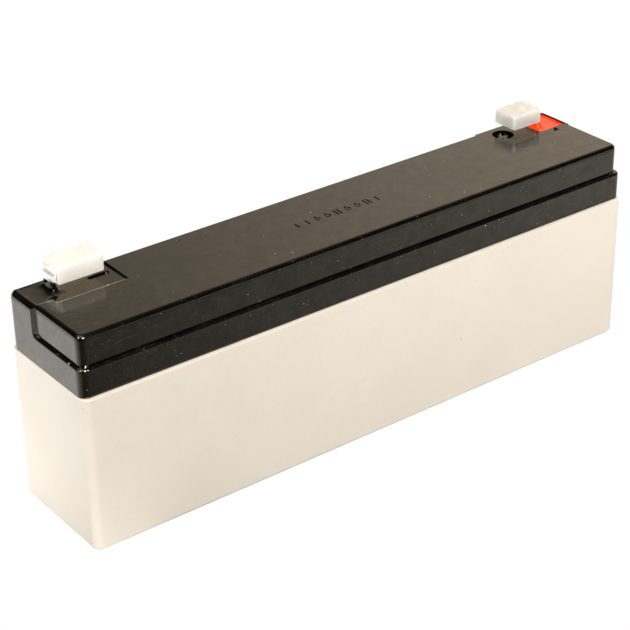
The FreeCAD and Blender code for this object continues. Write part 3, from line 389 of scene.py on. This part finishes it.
def cover_plastic(side, glow, smoke):
    """Milky translucent polyethylene of a terminal cover; its walls seen
    edge-on are whiter. glow adds painted light of its own, smoke greys it."""
    clearness = 0.20            # share of refraction away from the edges
    painted_reflection_glow = 0.125         # painted reflection: glow added in glossy rays only
    mat = material("milky_polyethylene_" + side)
    pos = mat.coords()
    edge = cover_edges(mat, pos, *box_mm(side + "_terminal_cover"))
    cloud = mat.noise(pos, scale=0.35, detail=4.0, rough=0.55)
    draw = mat.noise(mat.coords(scale=(0.10, 1.0, 1.0)), scale=1.3, rough=0.6)
    tint = mat.tones(cloud, (0.3, 0.7), (0.960, 0.966, 0.980), (0.940, 0.940, 0.945))
    tint = mat.tones(draw, (0.45, 0.75), tint, (0.92, 0.90, 0.87), most=0.5)
    tint = mat.mix(smoke, tint, (0.60, 0.60, 0.58))
    height = mat.weighted((draw, 1.0), (mat.noise(pos, scale=6.0, rough=0.6), 0.15))
    normal = mat.bump(height, strength=0.35, distance=0.00004)
    # painted light: the underside glows, and so does its mirror image in the black lid, warmly;
    # the glow stands in for light passing through the milky plastic
    under = mat.math("MAXIMUM", mat.times(mat.normal_z(), -1.0), 0.0)
    mirror = mat.times(mat.ray("Glossy"), painted_reflection_glow)
    strength = mat.math("ADD", mat.linear(under, gain=0.60, offset=glow), mirror)
    warm = mat.math("MINIMUM", mat.lift(under, mirror, by=7.5), 1.0)
    skin = mat.principled(
        Base_Color=tint,
        Roughness=mat.remap(cloud, span=(0.3, 0.7), to=(0.20, 0.34)),
        IOR=1.5,
        Normal=normal,
        Specular_IOR_Level=0.5,
        Subsurface_Weight=0.85,
        Subsurface_Radius=(0.0040, 0.0037, 0.0033),
        Subsurface_Scale=1.0,
        Emission_Color=mat.mix(warm, (1.0, 0.97, 0.92), (1.0, 0.82, 0.54)),
        Emission_Strength=strength)
    through = mat.node("ShaderNodeBsdfTranslucent", {
        "Color": (0.97, 0.955, 0.93), "Normal": normal}).outputs[0]
    glass = mat.node("ShaderNodeBsdfRefraction", {
        "Color": (0.98, 0.97, 0.95), "Roughness": 0.42, "IOR": 1.12,
        "Normal": normal}).outputs[0]
    milky = mat.mix_shaders(factor=0.22, first=skin, second=through)
    clear = mat.times(mat.math("SUBTRACT", 1.0, edge), clearness)
    return mat.finish(mat.mix_shaders(clear, milky, glass))


def tinned_metal():
    """Tinned brass terminals, a little tarnished."""
    dry_metallic = 0.72
    mat = material("tinned_brass")
    pos = mat.coords()
    grain = mat.noise(mat.coords(scale=(0.15, 3.0, 1.0)), scale=3.0, rough=0.6)
    tarnish = mat.noise(pos, scale=0.6, detail=4.0, rough=0.6)
    base = mat.tones(tarnish, (0.45, 0.75), (0.90, 0.89, 0.87), (0.76, 0.72, 0.66))
    # black resin has crept up the foot of the negative terminal
    x, _, z = mat.axes(pos)
    creep = mat.remap(mat.noise(pos, scale=0.9, detail=2.0),
                      span=(0.2, 0.8), to=(60.72, 61.02))
    wet = mat.times(mat.below(z, creep), mat.below(x, limit=0.0))
    rough = mat.remap(grain, span=(0.3, 0.7), to=(0.34, 0.50))
    return mat.surface(
        Base_Color=mat.mix(wet, base, (0.0035, 0.0030, 0.0025)),
        Metallic=mat.times(mat.math("SUBTRACT", 1.0, wet), dry_metallic),
        Roughness=mat.lower(rough, wet, by=0.20),
        Normal=mat.bump(grain, strength=0.3, distance=0.00001),
        Specular_IOR_Level=mat.lower(0.5, wet, by=0.44))


def lead_metal():
    """Oxidised cast lead."""
    mat = material("cast_lead")
    pos = mat.coords()
    oxide = mat.noise(pos, scale=0.5, detail=5.0, rough=0.6)
    pits = mat.noise(pos, scale=1.6, detail=4.0, rough=0.6)
    return mat.surface(
        Base_Color=mat.tones(oxide, (0.35, 0.7), (0.30, 0.31, 0.33), (0.16, 0.165, 0.17)),
        Metallic=0.85,
        Roughness=mat.remap(oxide, span=(0.3, 0.7), to=(0.38, 0.6)),
        Normal=mat.bump(pits, strength=0.5, distance=0.00006))


def paste(name, dark, light, seed):
    """Battery paste on a cast grid: the grid's bars show faintly through."""
    mat = material(name)
    grain = mat.noise(mat.coords(offset=(seed, 0, 0)), scale=2.2, detail=5.0, rough=0.65)
    _, y, z = mat.axes(mat.coords())

    def stripes(axis, per_mm, limit):
        return mat.above(mat.math("FRACT", mat.times(axis, per_mm)), limit)

    bars = mat.math("MAXIMUM", stripes(y, per_mm=0.2, limit=0.86),
                    stripes(z, per_mm=0.33, limit=0.84))
    base = mat.tones(grain, (0.3, 0.7), dark, light)
    return mat.surface(
        Base_Color=mat.paint(base, bars, amount=0.45, color=(0.30, 0.30, 0.31)),
        Roughness=0.85,
        Normal=mat.bump(mat.lift(grain, bars, by=0.6), strength=0.7, distance=0.0001))


def glass_mat():
    """Separator mat of two crossing layers of glass fibre."""
    mat = material("glass_fibre_mat")
    layers = [mat.noise(mat.coords(scale=scale, turn=turn), scale=3.0, detail=4.0, rough=0.7)
              for scale, turn in (((1, 3.5, 0.35), (0.3, 0, 0)),
                                  ((1, 0.35, 3.5), (-0.4, 0, 0)))]
    half = 0.5
    fibres = mat.times(mat.math("ADD", *layers), half)
    return mat.surface(
        Base_Color=mat.tones(fibres, (0.35, 0.65), (0.72, 0.72, 0.70), (0.90, 0.90, 0.88)),
        Roughness=0.8,
        Normal=mat.bump(fibres, strength=0.8, distance=0.00012),
        Sheen_Weight=0.3)


def rubber():
    """Matt black rubber."""
    mat = material("valve_rubber")
    grain = mat.noise(mat.coords(), scale=3.0, detail=4.0, rough=0.6)
    return mat.surface(
        Base_Color=mat.tones(grain, (0.35, 0.65), (0.014, 0.014, 0.014), (0.035, 0.034, 0.032)),
        Roughness=0.65,
        Normal=mat.bump(grain, strength=0.5, distance=0.00003))


def adhesive():
    """Amber epoxy that bonds the lid."""
    mat = material("epoxy_bond")
    cloud = mat.noise(mat.coords(), scale=0.8)
    return mat.surface(
        Base_Color=mat.mix(cloud, (0.30, 0.20, 0.08), (0.45, 0.34, 0.17)),
        Roughness=0.3,
        Normal=mat.bump(cloud, strength=0.5, distance=0.0001),
        Transmission_Weight=0.2)


CREAM = cream_plastic()
LID = black_plastic("black_abs_lid", seed=0.0, dusty=1.0)
VENT_COVER = black_plastic("black_abs_cover", seed=37.0, dusty=0.9, painted_edge_lines=True)
RESINS = {
    "negative": resin("black_resin", dark=(0.0016, 0.0015, 0.0014),
                      light=(0.004, 0.0036, 0.0032), seed=3.0, tint=(1.0, 0.90, 0.76),
                      foot_shine=0.14, pool_shine=0.50),
    "positive": resin("red_resin", dark=(0.90, 0.034, 0.006), light=(1.0, 0.078, 0.013),
                      seed=9.0, tint=(1.0, 0.50, 0.30), foot_shine=0.22, pool_shine=0.22),
}
MILKY = {
    # painted light: the negative cover glows a little of its own
    "negative": cover_plastic("negative", glow=0.05, smoke=0.0),
    "positive": cover_plastic("positive", glow=0.0, smoke=0.36),
}
TIN = tinned_metal()
LEAD = lead_metal()
POSITIVE_PASTE = paste("positive_paste", dark=(0.10, 0.045, 0.028),
                       light=(0.19, 0.095, 0.06), seed=1.0)
NEGATIVE_PASTE = paste("negative_paste", dark=(0.23, 0.235, 0.24),
                       light=(0.36, 0.365, 0.37), seed=2.0)
FIBRE = glass_mat()
RUBBER = rubber()
BOND = adhesive()

# name pattern of the CAD nodes, material; the first match counts
FINISHES = (
    ("container", CREAM),
    ("lid", LID),
    ("vent_cover", VENT_COVER),
    ("lid_adhesive", BOND),
    ("valve_cap*", RUBBER),
    ("*o_ring", RUBBER),
    ("positive_plates*", POSITIVE_PASTE),
    ("negative_plates*", NEGATIVE_PASTE),
    ("separators*", FIBRE),
    ("*_terminal", TIN),
    ("negative_terminal_seal", RESINS["negative"]),
    ("positive_terminal_seal", RESINS["positive"]),
    ("negative_terminal_cover", MILKY["negative"]),
    ("positive_terminal_cover", MILKY["positive"]),
    ("*", LEAD),
)


def dress(mesh, finish, sharp_angle):
    """One material, smooth shading, edges sharp above the angle in degrees."""
    mesh.materials.clear()
    mesh.materials.append(finish)
    for polygon in mesh.polygons:
        polygon.use_smooth = True
    mesh.set_sharp_from_angle(angle=math.radians(sharp_angle))


for name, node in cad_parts.items():
    finish = next(found for pattern, found in FINISHES if fnmatchcase(name, pattern))
    dress(node.data, finish, sharp_angle=28)


# ------------------------------------------------- sleeves and resin pieces
def make_piece(name, bm, node, body, finish, sharp_angle):
    """A finished mesh that stands for one CAD node and rides its body."""
    bmesh.ops.remove_doubles(bm, verts=bm.verts, dist=1e-7)
    bmesh.ops.recalc_face_normals(bm, faces=bm.faces)
    mesh = bpy.data.meshes.new(name)
    bm.to_mesh(mesh)
    bm.free()
    piece = bpy.data.objects.new(name, mesh)
    scene.collection.objects.link(piece)
    dress(mesh, finish, sharp_angle)
    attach(piece, body)
    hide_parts(node)


def add_loop(bm, points):
    return [bm.verts.new(Vector(point) * MM) for point in points]


def bridge(bm, loops):
    """Quads between each closed loop and the next."""
    count = len(loops[0])
    for first, second in zip(loops[:-1], loops[1:]):
        for i in range(count):
            j = (i + 1) % count
            bm.faces.new((first[i], first[j], second[j], second[i]))


def arc(center, radius, start, steps):
    """Quarter circle from the start angle, in degrees."""
    angles = [math.radians(start + 90 * i / steps) for i in range(steps + 1)]
    return [(center[0] + radius * math.cos(a), center[1] + radius * math.sin(a))
            for a in angles]


def sleeve_section(low, high, top_radius, low_radius, inset, rib_top=0.0, rib_low=0.0):
    """Closed (y, z) loop with rounded corners and rib feet at fixed places
    along the top and the underside, so that every loop has equal counts."""
    y0, z0 = low[0] + inset, low[1] + inset
    y1, z1 = high[0] - inset, high[1] - inset
    top = max(top_radius - inset, 0.12)
    foot = max(low_radius - inset, 0.10)
    ribs = (TERMINAL_Y - RIB_OFFSET, TERMINAL_Y + RIB_OFFSET)
    points = arc((y1 - top, z1 - top), top, 0, steps=7)
    for middle in reversed(ribs):
        points += [(middle + dy, z1 - share * rib_top) for dy, share in RIB_PROFILE]
    points += arc((y0 + top, z1 - top), top, 90, steps=7)
    points += arc((y0 + foot, z0 + foot), foot, 180, steps=5)
    for middle in ribs:
        points += [(middle - dy, z0 + share * rib_low) for dy, share in RIB_PROFILE]
    points += arc((y1 - foot, z0 + foot), foot, 270, steps=5)
    return points


def cap_end(bm, loop):
    """Flat end: a fan over a smaller ring, so that it shades evenly."""
    count = len(loop)
    x = loop[0].co.x
    y = sum(v.co.y for v in loop) / count
    z = sum(v.co.z for v in loop) / count
    small = [bm.verts.new((v.co.x, y + (v.co.y - y) * 0.8, z + (v.co.z - z) * 0.8))
             for v in loop]
    bridge(bm, [loop, small])
    middle = bm.verts.new((x, y, z))
    for i in range(count):
        bm.faces.new((small[i], small[(i + 1) % count], middle))


def build_sleeve(side, outward, grow_y, grow_z, sway_phase):
    """Slip-on terminal cover: thin moulded sleeve, open at the outer end, with
    ribs inside, crisp lower edges and softly rounded upper ones. outward is
    the sign of x; grow_y and grow_z move its back and top from the CAD box."""
    (x0, y0, z0), (x1, y1, z1) = box_mm(side + "_terminal_cover")
    y1 += grow_y
    z1 += grow_z
    mouth = x0 if outward < 0 else x1
    length = x1 - x0
    straight = length - END_ROUND
    wall = SLEEVE_WALL
    rib_top = z1 - wall - BLADE_TOP - RIB_CLEARANCE
    rib_low = BLADE_UNDERSIDE - RIB_CLEARANCE - (z0 + wall)

    # depth is measured from the mouth towards the battery's middle
    def outer(depth, inset=0.0, drop=0.0, sway=0.0):
        """drop lowers the bottom millimetre, sway shifts the top one."""
        section = sleeve_section((y0, z0), (y1, z1), SLEEVE_TOP_RADIUS,
                                 SLEEVE_LOW_RADIUS, inset)
        return [(mouth - outward * depth, y,
                 z - drop * max(0.0, 1.0 - (z - z0 - inset)) + sway * max(0.0, z - z1 + 1.0))
                for y, z in section]

    def inner(depth, inset, share):
        section = sleeve_section((y0 + wall, z0 + wall), (y1 - wall, z1 - wall),
                                 BORE_TOP_RADIUS, BORE_LOW_RADIUS, inset,
                                 rib_top * share, rib_low * share)
        return [(mouth - outward * depth, y, z) for y, z in section]

    rings = []
    for step in range(8, 0, -1):
        angle = math.radians(90.0 * step / 8)
        rise = 1 - math.cos(angle)
        rings.append(outer(straight + END_ROUND * math.sin(angle), END_ROUND * rise,
                           drop=(END_ROUND - END_ROUND_LOW) * rise))
    rings.append(outer(straight))
    for step in range(1, 10):
        rings.append(outer(straight * (1 - step / 10),
                           sway=0.035 * math.sin(step * 1.9 + sway_phase)))
    rings += [outer(0.16), outer(0.05, inset=0.05), outer(0.0, inset=0.16)]
    # inside: depth, inset, share of the ribs' height
    full = 1.7
    bottom = length - wall
    stations = [(0.0, -0.12, 0.0), (0.10, -0.03, 0.0), (0.25, 0.0, 0.0), (1.1, 0.0, 0.0),
                (full, 0.0, 1.0)]
    stations += [(full + (bottom - 0.4 - full) * i / 6, 0.0, 1.0) for i in range(1, 6)]
    stations += [(bottom - 0.3, 0.0, 1.0), (bottom - 0.08, 0.08, 0.98), (bottom, 0.28, 0.9)]
    rings += [inner(*station) for station in stations]

    bm = bmesh.new()
    loops = [add_loop(bm, ring) for ring in rings]
    bridge(bm, loops)
    for loop in (loops[0], loops[-1]):
        cap_end(bm, loop)
    make_piece(side + "_cover_sleeve", bm, side + "_terminal_cover", side + "_cover",
               MILKY[side], sharp_angle=32)


def cast_ray(start, ray, loop):
    """Nearest point where a ray meets a closed (x, y) loop."""
    nearest = None
    for i, (px, py) in enumerate(loop):
        end = loop[(i + 1) % len(loop)]
        edge_x, edge_y = end[0] - px, end[1] - py
        cross = ray[0] * edge_y - ray[1] * edge_x
        if abs(cross) < 1e-12:
            continue
        reach = ((px - start[0]) * edge_y - (py - start[1]) * edge_x) / cross
        along = ((px - start[0]) * ray[1] - (py - start[1]) * ray[0]) / cross
        if reach > 0 and -1e-9 <= along <= 1 + 1e-9 and (nearest is None or reach < nearest):
            nearest = reach
    return start[0] + ray[0] * nearest, start[1] + ray[1] * nearest


def build_resin(side, outward, climb, seed):
    """Cast resin in a terminal well: rises a little at the walls and climbs the
    terminal's stem, which stands through it. outward is the sign of x."""
    (x0, y0, _), (x1, y1, level) = box_mm(side + "_terminal_seal")
    stem_x = outward * STEM_X
    half_x = STEM_THICKNESS / 2 + SLOT_GAP
    half_y = STEM_WIDTH / 2 + SLOT_GAP
    rnd = random.Random(seed)
    phase = [rnd.uniform(0, 6.28) for _ in range(6)]

    def stem_distance(x, y):
        dx = abs(x - stem_x) - half_x
        dy = abs(y - TERMINAL_Y) - half_y
        if dx > 0 and dy > 0:
            return math.hypot(dx, dy)
        return max(0.0, dx, dy)

    def height(x, y):
        stem = stem_distance(x, y)
        wall = max(0.0, min(x - x0, x1 - x, y - y0, y1 - y))
        uneven = (1.0 + 0.035 * math.sin(1.3 * y + phase[0])
                  + 0.02 * math.sin(2.9 * y + phase[1]))
        # climbs less on the stem's face towards the battery's middle, and at its back
        inward = outward * (stem_x - x) - STEM_THICKNESS / 2
        share = 1.0 - 0.34 * min(1.0, max(0.0, (inward + 0.25) / 0.25))
        back = min(1.0, max(0.0, (y - 9.6) / 3.2))
        share *= 1.0 - 0.55 * back * back * (3.0 - 2.0 * back)
        z = level + 0.14 * math.exp(-wall / 0.45)           # wets the well's walls
        z += share * climb * uneven * math.exp(-stem / 0.34)
        z += share * 0.33 * climb * uneven * math.exp(-stem / 1.3)
        z += 0.03 * math.sin(1.7 * x + phase[2]) * math.sin(1.3 * y + phase[3])
        return z

    # slot around the stem: corners with the steps to the next one
    corners = ((-1, -1, 8), (1, -1, 24), (1, 1, 8), (-1, 1, 24))
    slot_ring = []
    for i, (sx, sy, steps) in enumerate(corners):
        next_x, next_y, _ = corners[(i + 1) % 4]
        slot_ring += [(stem_x + half_x * (sx + (next_x - sx) * step / steps),
                       TERMINAL_Y + half_y * (sy + (next_y - sy) * step / steps))
                      for step in range(steps)]
    left, right = WELL_SHARP_RADIUS, WELL_RADIUS
    if outward > 0:
        left, right = right, left
    well = (arc((x0 + left, y0 + left), left, 180, steps=4)
            + arc((x1 - right, y0 + right), right, 270, steps=4)
            + arc((x1 - right, y1 - right), right, 0, steps=4)
            + arc((x0 + left, y1 - left), left, 90, steps=4))
    # rays spread wider in x than the slot, so that the well's outline is well filled
    center = (stem_x, TERMINAL_Y)
    well_ring = [cast_ray(center, ((x - stem_x) * 2.1, y - TERMINAL_Y), well)
                 for x, y in slot_ring]

    bm = bmesh.new()
    loops = []
    for share in RESIN_SHARES:
        places = [(ax + (bx - ax) * share, ay + (by - ay) * share)
                  for (ax, ay), (bx, by) in zip(slot_ring, well_ring)]
        loops.append(add_loop(bm, [(x, y, height(x, y)) for x, y in places]))
    # down the wall, across the bottom, and up the slot
    for ring in (well_ring, slot_ring):
        loops.append(add_loop(bm, [(x, y, RESIN_BOTTOM) for x, y in ring]))
    bridge(bm, loops + loops[:1])
    make_piece(side + "_resin_fill", bm, side + "_terminal_seal", "case",
               RESINS[side], sharp_angle=60)


build_sleeve("negative", outward=-1, grow_y=0.3, grow_z=0.4, sway_phase=0.0)
build_sleeve("positive", outward=1, grow_y=0.1, grow_z=-0.15, sway_phase=2.0)
build_resin("negative", outward=-1, climb=2.15, seed=5)
build_resin("positive", outward=1, climb=1.5, seed=8)

# ------------------------------------------------------------ light levels
WHITE = (1.0, 1.0, 1.0)
BACKDROP_LEVEL = 1.02       # plain white seen by the camera
# glow of the room: azimuth, elevation, tightness, level, colour
WALLS = (
    (0, 90, 0.0, 0.022, (1.0, 0.90, 0.80)),
    (36, 25, 9.8, 1.46, (1.0, 0.87, 0.69)),
    (176, 68, 16.0, 3.8, (1.0, 0.95, 0.88)),
    (-112, 55, 19.0, 2.9, (1.0, 0.97, 0.93)),
)
LAMP_DISTANCE = 1.1
LAMP_TARGET = (0, 0, 0.03)
LAMP_COLOR = (1, 0.97, 0.93)
# name, azimuth, elevation, disc diameter, watts, kinds of ray that miss it
LAMPS = (
    ("lamp_left", 192.0, 34.0, 0.04, 1.2, ()),
    ("lamp_front", -101.0, 31.0, 0.04, 7.8, ()),
    # diffuse fill for the right and back sides
    ("fill_right", 8.0, 12.0, 0.3, 4.2, ("glossy", "transmission")),
    ("fill_back", 92.0, 14.0, 0.3, 4.0, ("glossy", "transmission")),
    # small mirror images of the lamps at the rounded corners
    ("glint_left", 194.0, 36.0, 0.10, 8.0, ("diffuse", "transmission")),
    ("glint_front", -103.0, 33.0, 0.10, 34.0, ("diffuse", "transmission")),
)


# --------------------------------------------------------------- stage
def floor_paper():
    """Plain pale paper to the camera. What it sends to the battery is brighter
    behind and to the left, dimmer in front."""
    behind_gain = 2.0
    mat = material("floor_paper")
    x, y, _ = mat.axes(mat.coords())
    left = mat.times(mat.remap(x, span=(-62.0, -97.0)), mat.remap(y, span=(-72.0, 25.0)))
    behind = mat.remap(y, span=(30.0, 150.0), to=(0.0, 0.5))
    right = mat.remap(x, span=(-60.0, 160.0))
    front_left = mat.times(mat.remap(x, span=(-20.0, -130.0)), mat.remap(y, span=(0.0, -50.0)))
    level = mat.linear(right, gain=0.74, offset=0.43)
    level = mat.lower(level, front_left, by=0.24)
    level = mat.times(level, mat.remap(y, span=(-78.0, -30.0), to=(1.0, 0.71)))
    level = mat.math("MAXIMUM", level, mat.linear(left, gain=1.72, offset=0.19))
    level = mat.math("MAXIMUM", level, mat.times(behind, behind_gain))
    fibre = mat.remap(mat.noise(mat.coords(), scale=0.4), span=(0.2, 0.8), to=(0.97, 1.03))
    tint = mat.mix(left, (1.0, 0.968, 0.920), (1.0, 0.985, 0.965))
    soft = mat.glow("Emission", tint, mat.times(level, fibre))
    paper = mat.glow("Emission", WHITE, BACKDROP_LEVEL)
    return mat.finish(mat.mix_shaders(mat.ray("Camera"), soft, paper))


def build_floor(half_size, z):
    mesh = bpy.data.meshes.new("floor")
    bm = bmesh.new()
    for x, y in ((-1, -1), (1, -1), (1, 1), (-1, 1)):
        bm.verts.new((x * half_size, y * half_size, z))
    bm.faces.new(bm.verts)
    bm.to_mesh(mesh)
    bm.free()
    floor = bpy.data.objects.new("floor", mesh)
    scene.collection.objects.link(floor)
    mesh.materials.append(floor_paper())


def build_world():
    """Soft glows around four directions; plain white to the camera."""
    world = Graph(bpy.data.worlds.new("studio"), "ShaderNodeOutputWorld")
    view = world.node("ShaderNodeTexCoord").outputs["Generated"]
    glows = []
    for azimuth, elevation, tightness, level, color in WALLS:
        facing = world.node("ShaderNodeVectorMath", {0: view, 1: direction(azimuth, elevation)},
                            operation="DOT_PRODUCT").outputs["Value"]
        falloff = world.times(world.math("SUBTRACT", facing, 1.0), tightness)
        strength = world.times(world.math("EXPONENT", falloff), level)
        glows.append(world.glow("Background", color, strength))
    room = reduce(lambda a, b: world.node("ShaderNodeAddShader", {0: a, 1: b}).outputs[0], glows)
    white = world.glow("Background", WHITE, BACKDROP_LEVEL)
    scene.world = world.finish(world.mix_shaders(world.ray("Camera"), room, white))


def add_lamp(name, azimuth, elevation, diameter, watts, missed_by):
    light = bpy.data.lights.new(name, "AREA")
    light.energy = watts
    light.color = LAMP_COLOR
    light.shape = "DISK"
    light.size = diameter
    lamp = bpy.data.objects.new(name, light)
    scene.collection.objects.link(lamp)
    lamp.location = direction(azimuth, elevation) * LAMP_DISTANCE
    aim = Vector(LAMP_TARGET) - lamp.location
    lamp.rotation_euler = aim.to_track_quat("-Z", "Y").to_euler()
    for kind in missed_by:
        setattr(lamp, "visible_" + kind, False)


def add_camera():
    """Camera in front and to the left, looking down on the battery."""
    lens = bpy.data.cameras.new("camera")
    lens.sensor_width = 36.0
    lens.lens = 105.7
    lens.clip_start = 0.01
    lens.clip_end = 50.0
    camera = bpy.data.objects.new("camera", lens)
    scene.collection.objects.link(camera)
    right = Vector((0.794417, -0.607199, -0.014457))
    down = Vector((-0.303049, -0.375636, -0.875822))
    forward = Vector((0.52636, 0.70015, -0.48243))
    turn = Matrix((right, -down, -forward)).transposed().to_4x4()
    camera.matrix_world = Matrix.Translation((-0.267641, -0.345474, 0.269236)) @ turn
    scene.camera = camera


build_floor(half_size=6, z=-0.00005)
build_world()
for lamp in LAMPS:
    add_lamp(*lamp)
add_camera()
scene.view_settings.view_transform = "Standard"
scene.view_settings.look = "None"
